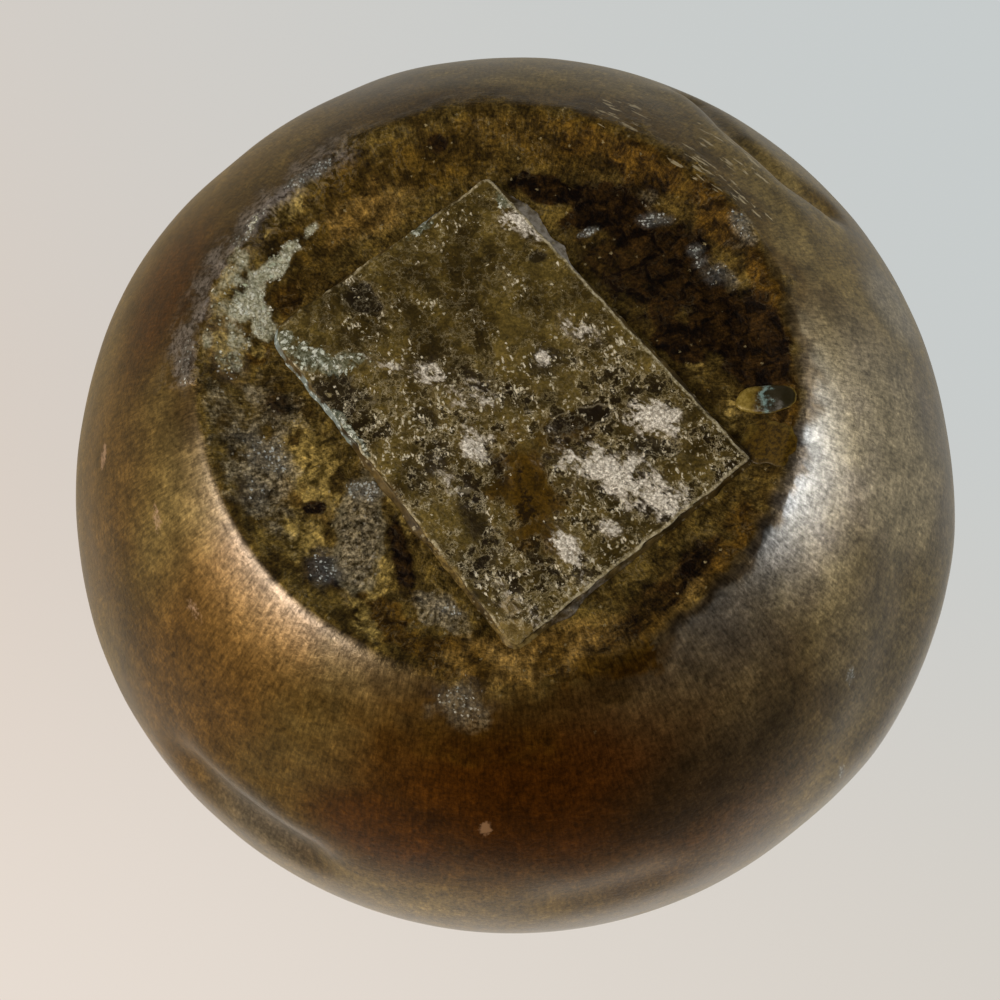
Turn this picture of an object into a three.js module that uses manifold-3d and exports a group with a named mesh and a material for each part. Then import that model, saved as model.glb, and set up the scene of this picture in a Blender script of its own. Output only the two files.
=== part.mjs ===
// A globular brass vase: two raised sheet-brass bowls lapped and brazed at the belly, a flared
// neck with a wired lip brazed on a turned-up collar, and a rectangular patch soldered into the
// dished bottom. Millimetres, +Z up, origin on the table under the vase's axis.

import * as THREE from "three";
import { mergeVertices } from "three/addons/utils/BufferGeometryUtils.js";
import Module from "manifold-3d";

const wasm = await Module();
wasm.setup();

// Body: the two bowls
const bellyRadius = 63;
const bellyHeight = 52; // of the widest line above the table
const bodyWall = 1;
const seamLap = 5; // how far the upper bowl reaches down inside the lower one
const shoulderRise = 55; // from the widest line to the foot of the neck

// Foot: the worn flat that the vase stands on, and the dish inside it
const dishRadius = 35; // inner edge of the flat
const footFlat = 1.2;
const footRoll = 2.2; // rounding on each side of the flat
const dishDepth = 2.4;
const dishFillet = 1.2; // between the dish's side and its floor

// Neck and lip
const neckRadius = 20;
const neckWall = 0.9;
const neckLength = 25; // the straight tube below the flare
const collarHeight = 5; // of the upper bowl's turned-up edge inside the neck
const flareRadius = 24;
const flareTurn = THREE.MathUtils.degToRad(72);
const wireRadius = 1.4;
const curlTurn = THREE.MathUtils.degToRad(280); // of the lip's sheet round the wire

// Patch in the dish, cut to fit between its sides
const patchWideEnd = 34.8;
const patchNarrowEnd = 32.6;
const wideEndRoom = 0.3; // from the solder's corners at each end to the edge of the dish's floor
const narrowEndRoom = 4;
const patchThickness = 0.8;
const patchCorner = 1; // rounding of the plate's corners
const patchTurn = THREE.MathUtils.degToRad(50.7); // of its length from +X

// Joining metal
const joinGap = 0.2; // clearance between pieces that are joined
const bellyBead = 2.2; // size of the braze inside the lap
const neckBead = 2.4; // size of the braze round the foot of the neck
const solderBed = 0.4; // thickness under the plate
const solderRise = 0.45; // up the plate's sides
const solderSpread = 0.6; // beyond the plate on the floor
const longDrop = { length: 5.2, width: 2.6, height: 0.9, inset: 0.3, turn: THREE.MathUtils.degToRad(0.5) };
const roundDrop = { length: 3, width: 3, height: 0.6, inset: 0.3, turn: THREE.MathUtils.degToRad(8) };

// Facets
const SIDES = 48; // round the vase
const BEND = THREE.MathUtils.degToRad(9); // the most that an arc turns in one step
const TIGHT_BEND = THREE.MathUtils.degToRad(30); // the same on arcs of a few millimetres

// Outlines in the half-plane through the axis: Vector2(radius, height)

const point = (radius, height) => new THREE.Vector2(radius, height);

// Points of an arc about (x, z), from one angle to another, both ends included.
function arc(x, z, radius, from, to, bend) {
  const steps = Math.max(1, Math.ceil(Math.abs(to - from) / bend));
  return Array.from({ length: steps + 1 }, (_, i) => {
    const angle = from + ((to - from) * i) / steps;
    return point(x + radius * Math.cos(angle), z + radius * Math.sin(angle));
  });
}

// The line a given distance to the left of an open line of points, with mitred corners.
function leftOf(line, distance) {
  const sides = line.slice(1).map((p, i) => {
    const along = p.clone().sub(line[i]).normalize();
    return point(-along.y, along.x);
  });
  return line.map((p, i) => {
    const before = sides[Math.max(i - 1, 0)];
    const after = sides[Math.min(i, sides.length - 1)];
    const mitre = before.clone().add(after);
    return p.clone().addScaledVector(mitre, distance / (1 + before.dot(after)));
  });
}

// Where a line of points first crosses a height, or a radius: the other measure there.
function crossing(line, measure, other, value) {
  const end = line.findIndex((p, i) => i > 0 && (p[measure] - value) * (line[i - 1][measure] - value) <= 0);
  const [a, b] = [line[end - 1], line[end]];
  return a[other] + ((b[other] - a[other]) * (value - a[measure])) / (b[measure] - a[measure]);
}
const radiusAt = (line, height) => crossing(line, "y", "x", height);
const heightAt = (line, radius) => crossing(line, "x", "y", radius);

// Drops points that fall on the one before, where two stretches of a line meet.
const joined = (...stretches) =>
  stretches.flat().filter((p, i, all) => i === 0 || p.distanceTo(all[i - 1]) > 1e-6);

const sheet = (line, thickness) => [...line, ...leftOf(line, thickness).reverse()];

// Turns an outline about +Z. An outline that doesn't start on the axis is closed on itself.
function revolve(outline) {
  const closed = outline[0].x === 0 ? outline : [...outline, outline[0].clone()];
  return new THREE.LatheGeometry(closed, SIDES).rotateX(Math.PI / 2);
}

// Solids cut from one another

function solidOf(geometry) {
  const bare = geometry.clone().deleteAttribute("normal").deleteAttribute("uv");
  const merged = mergeVertices(bare, 1e-4);
  return new wasm.Manifold(
    new wasm.Mesh({
      numProp: 3,
      vertProperties: new Float32Array(merged.attributes.position.array),
      triVerts: new Uint32Array(merged.index.array),
    }),
  );
}

function geometryOf(solid) {
  const { vertProperties, triVerts } = solid.getMesh();
  const geometry = new THREE.BufferGeometry();
  geometry.setAttribute("position", new THREE.BufferAttribute(vertProperties, 3));
  geometry.setIndex(new THREE.BufferAttribute(triVerts, 1));
  geometry.computeVertexNormals();
  return geometry;
}

// Materials: old brass with a brown-olive patina, and the greyer joining metals

const finish = (color, roughness) => new THREE.MeshStandardMaterial({ color, roughness, metalness: 1 });
const agedBrass = finish(0x7a6238, 0.42);
const darkPlate = finish(0x4d4328, 0.6);
const brazingBrass = finish(0x9a7f3f, 0.5);
const softSolder = finish(0x77735f, 0.55);
const wireBrass = finish(0x8a7140, 0.45);

function piece(name, geometry, material) {
  const mesh = new THREE.Mesh(geometry, material);
  mesh.name = name;
  return mesh;
}

// Curves of the body that several pieces share

const footOuter = dishRadius + footFlat;

// The belly's lower arc leaves the foot's outer rounding without a corner and is upright at the widest line.
const bellyOut = bellyRadius - footOuter;
const bellyArc =
  (bellyOut ** 2 + (bellyHeight - footRoll) ** 2 - footRoll ** 2) / (2 * (bellyOut - footRoll));
const bellyCentre = bellyRadius - bellyArc;
const bellyTurn = Math.atan2(bellyHeight - footRoll, footOuter - bellyCentre); // up from the foot's rounding

const bellyOutside = arc(bellyCentre, bellyHeight, bellyArc, -bellyTurn, 0, BEND);
const bellyInside = leftOf(bellyOutside, bodyWall);
bellyInside[bellyInside.length - 1] = point(bellyRadius - bodyWall, bellyHeight);

// The shoulder's arc is upright at the widest line and ends at the collar inside the neck.
const collarRadius = neckRadius - neckWall - joinGap;
const shoulderRun = bellyRadius - collarRadius;
const shoulderArc = (shoulderRun ** 2 + shoulderRise ** 2) / (2 * shoulderRun);
const shoulderCentre = bellyRadius - shoulderArc;
const seamHeight = bellyHeight + joinGap; // lowest line of the upper bowl's outside
const shoulderTurn = Math.acos((collarRadius - shoulderCentre) / shoulderArc);
const shoulder = arc(shoulderCentre, seamHeight, shoulderArc, 0, shoulderTurn, BEND);

// The dish's side is two arcs that meet on a slope.
const dishSlope = Math.acos(1 - dishDepth / (footRoll + dishFillet));
const dishFloorRadius = dishRadius - (footRoll + dishFillet) * Math.sin(dishSlope);

function lowerBowl() {
  const down = -Math.PI / 2;
  const outside = joined(
    [point(0, dishDepth)],
    arc(dishFloorRadius, dishDepth - dishFillet, dishFillet, -down, -down - dishSlope, TIGHT_BEND),
    arc(dishRadius, footRoll, footRoll, down - dishSlope, down, TIGHT_BEND),
    arc(footOuter, footRoll, footRoll, down, -bellyTurn, TIGHT_BEND),
    bellyOutside,
  );
  const inside = leftOf(outside, bodyWall);
  inside[0] = point(0, dishDepth + bodyWall);
  inside[inside.length - 1] = bellyInside.at(-1);
  return revolve([...outside, ...inside.reverse()]);
}

const spigotFoot = bellyHeight - seamLap;
const spigotRadius = radiusAt(bellyInside, spigotFoot) - joinGap;

function upperBowl() {
  const collarTop = shoulder.at(-1).y + collarHeight;
  const outside = joined(
    [point(spigotRadius, spigotFoot), point(spigotRadius, seamHeight)],
    shoulder,
    [point(collarRadius, collarTop)],
  );
  return revolve(sheet(outside, bodyWall));
}

// The bead of braze that runs round inside the lap, under the spigot's edge.
function bellyBraze() {
  const top = spigotFoot - joinGap;
  const outer = (height) => radiusAt(bellyInside, height) - joinGap;
  return revolve([
    point(outer(top) - bellyBead, top),
    point(outer(top - bellyBead), top - bellyBead),
    point(outer(top), top),
  ]);
}

// The neck's sheet stands on the shoulder round the collar, flares, and curls out and under round the wire.
const neckFoot = heightAt(shoulder, neckRadius - neckWall) + joinGap;
const flareFoot = neckFoot + neckLength;
const curlRadius = wireRadius + joinGap;
const wireCentre = point(
  neckRadius + flareRadius - (flareRadius - curlRadius) * Math.cos(flareTurn),
  flareFoot + (flareRadius - curlRadius) * Math.sin(flareTurn),
);

function neck() {
  const flareEnd = Math.PI - flareTurn;
  const outside = joined(
    [point(neckRadius, neckFoot)],
    arc(neckRadius + flareRadius, flareFoot, flareRadius, Math.PI, flareEnd, BEND),
    arc(wireCentre.x, wireCentre.y, curlRadius, flareEnd, flareEnd - curlTurn, TIGHT_BEND),
  );
  return revolve(sheet(outside, neckWall));
}

function neckBraze() {
  const inner = neckRadius + joinGap;
  const outer = inner + neckBead;
  const onShoulder = (radius) => heightAt(shoulder, radius) + joinGap;
  return revolve([
    point(inner, onShoulder(inner)),
    point(outer, onShoulder(outer)),
    point(inner, onShoulder(inner) + neckBead),
  ]);
}

function rimWire() {
  const section = arc(wireCentre.x, wireCentre.y, wireRadius, 0, 2 * Math.PI, TIGHT_BEND);
  return revolve(section.slice(0, -1));
}

// Patch: its own frame has the length along +X, and the dish's floor at z = 0 with the table below it

// Distance along the patch from the vase's axis to an end, with the given room at the solder's corners.
const reach = (width, room) =>
  Math.sqrt((dishFloorRadius - room) ** 2 - (width / 2 + solderSpread) ** 2) - solderSpread;
const wideReach = reach(patchWideEnd, wideEndRoom);
const narrowReach = reach(patchNarrowEnd, narrowEndRoom);
const bedTop = -joinGap;
const plateTop = bedTop - solderBed - joinGap;

// The plate's outline, grown all round by a margin, with rounded corners.
function patchOutline(margin) {
  const corners = [
    point(wideReach + margin, -patchWideEnd / 2 - margin),
    point(wideReach + margin, patchWideEnd / 2 + margin),
    point(-narrowReach - margin, patchNarrowEnd / 2 + margin),
    point(-narrowReach - margin, -patchNarrowEnd / 2 - margin),
  ];
  const shape = new THREE.Shape();
  corners.forEach((corner, i) => {
    const before = corners.at(i - 1).clone().sub(corner).setLength(patchCorner).add(corner);
    const after = corners[(i + 1) % corners.length].clone().sub(corner).setLength(patchCorner).add(corner);
    if (i === 0) shape.moveTo(before.x, before.y);
    else shape.lineTo(before.x, before.y);
    shape.quadraticCurveTo(corner.x, corner.y, after.x, after.y);
  });
  return shape.closePath();
}

// A slab of a given outline between two heights.
const slab = (outline, bottom, top) =>
  new THREE.ExtrudeGeometry(outline, {
    depth: top - bottom,
    bevelEnabled: false,
    curveSegments: 3,
  }).translate(0, 0, bottom);

const basePatch = () => slab(patchOutline(0), plateTop - patchThickness, plateTop);

// The solder lies under the plate and stands up round its edge.
function patchSolder() {
  const edge = plateTop - solderRise;
  const pocketTop = bedTop - solderBed;
  const block = solidOf(slab(patchOutline(solderSpread), edge, bedTop));
  const pocket = solidOf(slab(patchOutline(joinGap), edge - joinGap, pocketTop));
  return geometryOf(block.subtract(pocket));
}

// A drop of solder on the dish's floor: a shallow dome, longer along the dish's radius.
function drop({ length, width, height }) {
  const dome = arc(0, 0, 1, 0, Math.PI / 2, TIGHT_BEND);
  dome[dome.length - 1].x = 0;
  return revolve([point(0, 0), ...dome]).rotateX(Math.PI).scale(length / 2, width / 2, height);
}

function placeDrop(mesh, { length, inset, turn }) {
  const radius = dishFloorRadius - inset - length / 2;
  mesh.position.set(radius * Math.cos(turn), radius * Math.sin(turn), dishDepth - joinGap);
  mesh.rotation.z = turn;
  return mesh;
}

// Assembly, in the order that the vase is put together

const patch = new THREE.Group();
patch.position.z = dishDepth;
patch.rotation.z = patchTurn;
patch.add(piece("base_patch", basePatch(), darkPlate), piece("patch_solder", patchSolder(), softSolder));

const vase = new THREE.Group();
vase.add(
  piece("lower_bowl", lowerBowl(), agedBrass),
  piece("upper_bowl", upperBowl(), agedBrass),
  piece("belly_braze", bellyBraze(), brazingBrass),
  piece("neck", neck(), agedBrass),
  piece("neck_braze", neckBraze(), brazingBrass),
  piece("rim_wire", rimWire(), wireBrass),
  patch,
  placeDrop(piece("solder_drop_long", drop(longDrop), softSolder), longDrop),
  placeDrop(piece("solder_drop_round", drop(roundDrop), softSolder), roundDrop),
);

export default vase;
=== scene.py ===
"""An old globular brass vase, its dished bottom mended with a soldered plate, over its CAD frame."""

import math

import bmesh
import bpy
import numpy as np
from mathutils import Matrix, Vector, noise


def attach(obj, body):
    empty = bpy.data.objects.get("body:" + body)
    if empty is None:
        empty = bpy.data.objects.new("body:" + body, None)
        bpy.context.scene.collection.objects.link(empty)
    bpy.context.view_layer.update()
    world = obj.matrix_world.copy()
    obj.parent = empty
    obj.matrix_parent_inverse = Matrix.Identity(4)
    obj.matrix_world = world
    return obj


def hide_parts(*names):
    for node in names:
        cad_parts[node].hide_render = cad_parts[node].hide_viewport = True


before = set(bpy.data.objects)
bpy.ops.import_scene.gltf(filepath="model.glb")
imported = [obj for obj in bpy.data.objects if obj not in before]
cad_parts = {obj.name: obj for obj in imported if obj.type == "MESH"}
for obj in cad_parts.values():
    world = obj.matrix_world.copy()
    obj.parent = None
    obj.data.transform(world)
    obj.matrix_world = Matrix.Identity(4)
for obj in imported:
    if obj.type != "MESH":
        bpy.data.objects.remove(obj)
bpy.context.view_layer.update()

scene = bpy.context.scene
scene.view_settings.view_transform = "Standard"
mm = 0.001

# Camera: a hand-held one, under the foot and a little to the +Y side, 225 mm from the belly's middle.
camera = bpy.data.objects.new("camera", bpy.data.cameras.new("camera"))
scene.collection.objects.link(camera)
scene.camera = camera
camera.data.sensor_width = 36
camera.data.lens = 54.17
camera.data.clip_start = 0.01
camera_place = Vector((9.21, 58.31, -165.67)) * mm
camera_right = Vector((0.9988, -0.0126, 0.0471)).normalized()
camera_back = camera_right.cross(Vector((-0.0001, -0.9666, -0.2562))).normalized()
camera_up = camera_back.cross(camera_right)
camera_turn = Matrix((camera_right, camera_up, camera_back)).transposed().to_4x4()
camera.matrix_world = Matrix.Translation(camera_place) @ camera_turn


# Stage: a sheet of pale paper under the foot. It is seen from above only, so that the camera under the
# vase sees the bottom, and light from below reaches it. A glow that only the camera sees keeps the paper
# pale.
def linear(hex_colour):
    """An sRGB hex colour as the linear RGBA that Blender's sockets take."""
    parts = [int(hex_colour[i : i + 2], 16) / 255 for i in (1, 3, 5)]
    return tuple(p / 12.92 if p <= 0.04045 else ((p + 0.055) / 1.055) ** 2.4 for p in parts) + (1.0,)


def add(kind, inputs=None, **settings):
    """Adds a node to the tree at hand. A value is set on its input; a node or a stain's name is linked."""
    made = tree.nodes.new("ShaderNode" + kind)
    for name, value in settings.items():
        setattr(made, name, value)
    for name, value in (inputs or {}).items():
        if isinstance(value, str):
            value = add("Attribute", attribute_name=value).outputs["Fac"]
        if isinstance(value, bpy.types.Node):
            value = next(output for output in value.outputs if output.enabled)
        if isinstance(value, bpy.types.NodeSocket):
            tree.links.new(value, made.inputs[name])
        else:
            made.inputs[name].default_value = value
    return made


def times(*shares):
    """Shares multiplied together."""
    product = shares[0]
    for share in shares[1:]:
        product = add("Math", {0: product, 1: share}, operation="MULTIPLY")
    return product


def new_material(name):
    """An empty node material and its tree, which is then the tree at hand."""
    made = bpy.data.materials.new(name)
    made.use_nodes = True
    made.node_tree.nodes.clear()
    return made, made.node_tree


def piece(name, bm, material, **painted):
    """An object at the origin, of a bmesh drawn in millimetres, with its stains painted per vertex."""
    bmesh.ops.scale(bm, vec=(mm, mm, mm), verts=bm.verts)
    mesh = bpy.data.meshes.new(name)
    bm.to_mesh(mesh)
    bm.free()
    mesh.polygons.foreach_set("use_smooth", [True] * len(mesh.polygons))
    for stain, values in painted.items():
        kind, field = ("FLOAT", "value") if np.ndim(values) == 1 else ("FLOAT_VECTOR", "vector")
        layer = mesh.attributes.new(stain, kind, "POINT")
        layer.data.foreach_set(field, np.asarray(values, np.float32).ravel())
    mesh.materials.append(material)
    made = bpy.data.objects.new(name, mesh)
    scene.collection.objects.link(made)
    return made


pale_paper, tree = new_material("pale_paper")
paper = add("BsdfDiffuse", {"Color": linear("#d6d0c8")})
clear = add("BsdfTransparent")
underside = add("NewGeometry").outputs["Backfacing"]
seen = add("LightPath").outputs["Is Camera Ray"]
glow = add("Emission", {"Color": linear("#e6e4e1"), "Strength": times(seen, 0.34)})
lit_paper = add("AddShader", {0: paper, 1: glow})
sheet = add("MixShader", {0: underside, 1: lit_paper, 2: clear})
add("OutputMaterial", {"Surface": sheet})

bm = bmesh.new()
bmesh.ops.create_grid(bm, x_segments=1, y_segments=1, size=9000)
bmesh.ops.translate(bm, vec=(0, 0, -0.1), verts=bm.verts)
floor = piece("floor", bm, pale_paper)
floor.visible_diffuse = floor.visible_glossy = floor.visible_transmission = floor.visible_shadow = False

# Light: a room that is dim round the vase, with the warm table that it was turned over on. The light is
# soft: a window on each side, and a lamp above, which only the upper half of the vase sees. Where the
# camera looks past the vase it sees a pale backdrop instead of the room.
world = bpy.data.worlds.new("dim_room")
scene.world = world
world.use_nodes = True
tree = world.node_tree
tree.nodes.clear()
towards = add("TexCoord").outputs["Generated"]


def facing(direction, low, high):
    """How much of the world faces a direction: 0 at the low cosine, 1 at the high one."""
    cosine = add("VectorMath", {0: towards, 1: direction}, operation="DOT_PRODUCT").outputs["Value"]
    return add("MapRange", {0: cosine, 1: low, 2: high}, interpolation_type="SMOOTHSTEP")


def mixed(share, first, last):
    """One colour of the world going over into another."""
    return add("Mix", {0: share, 6: first, 7: last}, data_type="RGBA").outputs[2]


warm_side = facing((-0.82, 0.5, 0.1), -0.4, 0.95)
walls = mixed(warm_side, (0.28, 0.28, 0.27, 1), (0.88, 0.71, 0.50, 1))
walls = mixed(facing((0.92, -0.38, 0.05), 0.5, 0.95), walls, (0.80, 0.76, 0.67, 1))
walls = mixed(facing((-0.45, -0.85, -0.25), 0.4, 0.9), walls, (0.41, 0.36, 0.28, 1))
room = mixed(facing((0, 0, -1), 0.55, 0.85), walls, (0.06, 0.05, 0.035, 1))
table = mixed(warm_side, (0.61, 0.585, 0.515, 1), (0.82, 0.68, 0.51, 1))
table = mixed(facing((-0.80, -0.50, 0.33), 0.75, 0.95), table, (0.60, 0.45, 0.26, 1))
shade = mixed(facing((0, 0, 1), 0.08, 0.5), room, table)
shade = mixed(facing((0.30, 0.93, 0.20), 0.58, 0.94), shade, (0.31, 0.17, 0.03, 1))
# The backdrop is warmer and lighter to the left and the near side, and cooler and darker to the right:
# painted light and shade of the table, with the vase's shadow painted as the darker right.
background = mixed(warm_side, linear("#c7cccc"), linear("#e9cfba"))
near_side = mixed(warm_side, linear("#d2cec7"), linear("#f2e4d8"))
background = mixed(facing((0, 1, 0), -0.35, 0.1), background, near_side)
seen = add("LightPath").outputs["Is Camera Ray"]
glow = add("Background", {"Color": mixed(seen, shade, background), "Strength": 1.0})
add("OutputWorld", {"Surface": glow})

# Each lamp: colour, watts, width, height and place in metres. All face the belly.
belly_middle = Vector((0, 0, 0.03))
for name, colour, watts, wide, high, place in (
    ("window_left", (1.0, 0.94, 0.86), 5.7, 0.42, 0.36, (-0.69, 0.29, -0.52)),
    ("window_right", (0.98, 0.99, 1.0), 3.7, 0.50, 0.20, (0.87, -0.02, -0.17)),
    ("overhead", (1.0, 0.98, 0.95), 4.5, 1.60, 1.60, (0.15, 0.50, 1.30)),
):
    lamp = bpy.data.objects.new(name, bpy.data.lights.new(name, "AREA"))
    scene.collection.objects.link(lamp)
    lamp.data.shape = "RECTANGLE"
    lamp.data.size, lamp.data.size_y = wide, high
    lamp.data.color, lamp.data.energy = colour, watts
    lamp.location = place
    lamp.rotation_euler = (belly_middle - Vector(place)).to_track_quat("-Z", "Y").to_euler()
    lamp.visible_camera = False

# Lower bowl: raised from one sheet of brass, with the ring that it stands on and the shallow dish inside
# the ring worked into it. The sheet is thin and has been knocked about: it is dented, worn bright on the
# ring, where a highlight is painted as well, and stained.
belly_radius, belly_height, wall = 63.0, 52.0, 1.0
ring_radius, ring_roll, inner_roll = 35.0, 2.6, 1.6
belly_out = belly_radius - ring_radius
belly_arc = (belly_out**2 + (belly_height - ring_roll) ** 2 - ring_roll**2) / (2 * (belly_out - ring_roll))
belly_centre = belly_radius - belly_arc
belly_turn = math.atan2(belly_height - ring_roll, ring_radius - belly_centre)
dish_depth, dish_flat, under_plate = 2.4, 27.0, 15.0
dish_slope = 2 * math.atan2(dish_depth, ring_radius - dish_flat)
dish_arc = (ring_radius - dish_flat) / math.sin(dish_slope) - inner_roll
ring_turn = math.pi / 2 - belly_turn
seam_height, seam_groove = belly_height + 0.1, 0.12


def draw(bm, start, *stretches):
    """Draws a half outline from a (radius, height): to a point, or round a centre by a turn, in steps."""
    tip = bm.verts.new((start[0], 0, start[1]))
    for (radius, height), turn, steps in stretches:
        goes = Vector((radius, 0, height)) - tip.co if turn is None else Vector()
        drawn = bmesh.ops.spin(
            bm, geom=[tip], cent=(radius, 0, height), axis=(0, -1, 0),
            dvec=goes / steps, angle=turn or 0, steps=steps,
        )
        tip = next(end for end in drawn["geom_last"] if isinstance(end, bmesh.types.BMVert))


def turn_round(bm, steps):
    """Turns the drawn outline about the vase's axis and closes it."""
    outline = bm.verts[:] + bm.edges[:]
    bmesh.ops.spin(
        bm, geom=outline, cent=(0, 0, 0), axis=(0, 0, 1), angle=2 * math.pi, steps=steps, use_merge=True
    )
    bmesh.ops.remove_doubles(bm, verts=bm.verts, dist=1e-4)
    bmesh.ops.recalc_face_normals(bm, faces=bm.faces)


def spots_of(bm):
    """The places of all vertices, in millimetres."""
    return np.array([v.co for v in bm.verts])


def move(bm, shift):
    """Moves each vertex by its own shift."""
    for v, by in zip(bm.verts, shift):
        v.co += Vector(by)


def grain(spots, size, octaves=1):
    """Noise of about -1 to 1 whose lumps are of a given size in mm."""
    sized = (spots / size).tolist()
    if octaves == 1:
        return np.array([noise.noise(p) for p in sized])
    fading, finer = 0.9, 2.1
    return np.array([noise.fractal(p, fading, finer, octaves) for p in sized])


def smooth_step(values, low, high):
    """0 below low, 1 above high, and a soft step between them."""
    share = np.clip((values - low) / (high - low), 0, 1)
    return share * share * (3 - 2 * share)


def bell(values, middle, spread):
    """1 at a middle value, falling off on both sides over a spread."""
    return np.exp(-(((values - middle) / spread) ** 2))


def smudges(spots, wobble, *shapes, ends=(0.4, 1.3)):
    """How strongly soft ovals (x, y, half length, half width, degrees, strength) cover each spot."""
    covered = np.zeros(len(spots))
    for x, y, length, width, degrees, strength in shapes:
        c, s = math.cos(math.radians(degrees)), math.sin(math.radians(degrees))
        along = ((spots[:, 0] - x) * c + (spots[:, 1] - y) * s) / length
        across = ((spots[:, 1] - y) * c - (spots[:, 0] - x) * s) / width
        reach = np.hypot(along, across) + wobble
        covered = np.maximum(covered, strength * (1 - smooth_step(reach, *ends)))
    return covered


bm = bmesh.new()
draw(
    bm,
    (0, dish_depth),
    ((under_plate, dish_depth), None, 4),
    ((dish_flat, dish_depth), None, 58),
    ((dish_flat, dish_depth - dish_arc), -dish_slope, 22),
    ((ring_radius, inner_roll), dish_slope, 6),
    ((ring_radius, ring_roll), ring_turn, 10),
    ((belly_centre, belly_height), belly_turn, 64),
    ((belly_radius - seam_groove, seam_height), None, 1),
    ((belly_radius - wall, seam_height), None, 1),
    ((belly_radius - wall, belly_height), None, 1),
    ((belly_centre, belly_height), -belly_turn, 18),
    ((ring_radius, ring_roll), -ring_turn, 4),
    ((ring_radius, inner_roll), -dish_slope, 2),
    ((dish_flat, dish_depth - dish_arc), dish_slope, 4),
    ((0, dish_depth + wall), None, 6),
)
turn_round(bm, 480)

# Knocks: the line of the blow, its half width and its depth in mm. A negative depth stands proud.
dents = (
    (((-38.6, 42.9, 27.5), (-31.7, 48.5, 27.4), (-25.3, 52.7, 28.7)), 4.2, 1.4),
    (((-35.5, 41.0, 20.5), (-26.0, 48.2, 21.5)), 4.4, -0.45),
    (((25.5, -46.7, 17.8), (30.0, -38.0, 10.8), (36.3, -31.8, 10.8), (42.5, -29.4, 15.5)), 2.3, 1.45),
    (((23.0, -43.0, 12.5), (28.0, -34.0, 6.5), (37.0, -25.0, 7.0)), 3.2, -0.4),
    (((50.0, 21.0, 20.0), (46.0, 35.0, 28.0)), 8.0, 0.7),
    (((55.0, 14.0, 36.0), (50.0, 34.0, 38.0)), 12.0, -1.0),
    (((18.8, 55.8, 29.3), (8.0, 58.5, 30.0)), 5.0, 0.5),
    (((-52.0, 14.0, 24.0), (-50.0, -6.0, 22.0)), 7.0, 0.35),
    (((-36.0, -40.0, 22.0), (-26.0, -47.0, 24.0)), 7.0, 0.45),
)


def dented(spots, dents):
    """How deep each spot is knocked in."""
    deep = np.zeros(len(spots))
    for line, width, depth in dents:
        away = np.full(len(spots), np.inf)
        for start, end in zip(np.array(line[:-1]), np.array(line[1:])):
            along = end - start
            share = np.clip((spots - start) @ along / (along @ along), 0, 1)
            away = np.minimum(away, np.linalg.norm(spots - start - share[:, None] * along, axis=1))
        deep += depth * bell(away, 0, width)
    return deep


def work_by_hand(bm, spots, arc_centre, arc_height, dents, share):
    """Moves the sheet in and out along its own arc: the unevenness of hand raising, and the knocks."""
    radius = np.maximum(np.hypot(spots[:, 0], spots[:, 1]), 1e-6)[:, None]
    outward = np.column_stack((spots[:, :2] / radius * (radius - arc_centre), spots[:, 2] - arc_height))
    outward /= np.linalg.norm(outward, axis=1)[:, None]
    hand_worked = 0.22 * grain(spots, 19) + 0.05 * grain(spots + 50, 7)
    move(bm, outward * ((hand_worked - dented(spots, dents)) * share)[:, None])


def polish_lines(spots, arc_centre, arc_height):
    """Texture places that stretch a grain along the vase's height, the way its skin was rubbed."""
    azimuth = np.arctan2(spots[:, 1], spots[:, 0])
    climb = np.arctan2(spots[:, 2] - arc_height, np.hypot(spots[:, 0], spots[:, 1]) - arc_centre)
    return np.column_stack((np.cos(azimuth), np.sin(azimuth), 0.3 * climb)) * 50 * mm


spots = spots_of(bm)
flat = spots * (1, 1, 0)
radius = np.hypot(spots[:, 0], spots[:, 1])
azimuth = np.degrees(np.arctan2(spots[:, 1], spots[:, 0]))
below_seam = smooth_step(-spots[:, 2], -belly_height, -belly_height + 6)
worked = smooth_step(radius, ring_radius, ring_radius + 6) * below_seam
work_by_hand(bm, spots, belly_centre, belly_height, dents, worked)
# The ring isn't quite round: it is pulled in at the lower left, where it is worn bright and carries a
# painted highlight.
pulled_in = 1.2 * bell(azimuth, 140, 45) * bell(radius, ring_radius, 6)
move(bm, -flat * (pulled_in / np.maximum(radius, 1))[:, None])

# Stains, as shares per vertex. The dish keeps what ran into it: verdigris in a band beside the plate's
# left corner, soot and rust-brown oxide at the plate's right, amber tarnish at the top, and at the lower
# left ochre, a grey veil with a pale edge, and a black crust. A grey film lies along the ring at the
# upper left. The belly is browner, scraped and barer in broad patches, and some of its colour is painted
# light: a golden sheen at the lower left, shade at the bottom and the left, a dark reflection at the
# lower right, and highlights on the ring at the lower left and on the right, laid over wear.
near_dish = (radius < 46) & (radius > under_plate) & (spots[:, 2] < 3)
in_reach = near_dish.astype(float)
wobble, fine_wobble, grit = np.zeros((3, len(spots)))
wobble[near_dish] = 0.6 * grain(flat[near_dish], 5, 5)
fine_wobble[near_dish] = 0.55 * grain(flat[near_dish] + 33, 2.4, 4)
grit[near_dish] = grain(flat[near_dish] + 3, 0.9, 2)
crust = smudges(
    flat, fine_wobble,
    (-22.8, -20.0, 2.2, 0.9, 125, 0.75), (-25.2, -17.6, 2.6, 1.1, 130, 0.9),
    (-27.4, -14.4, 3.2, 1.5, 125, 1.0), (-29.6, -10.8, 3.6, 2.6, 105, 1.0),
    (-28.2, -7.6, 2.2, 1.5, 50, 0.95), (-32.0, -11.0, 2.0, 5.0, 10, 0.35),
    (-30.4, -19.2, 5.0, 0.8, 125, 0.6), (-31.5, -2.5, 2.6, 1.8, 60, 0.5),
    (-33.8, -8.0, 0.8, 5.0, 5, 0.35), (-30.6, -5.6, 2.6, 2.0, 80, 0.5),
    (-31.2, -14.6, 3.0, 1.6, 120, 0.4),
)
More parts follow.
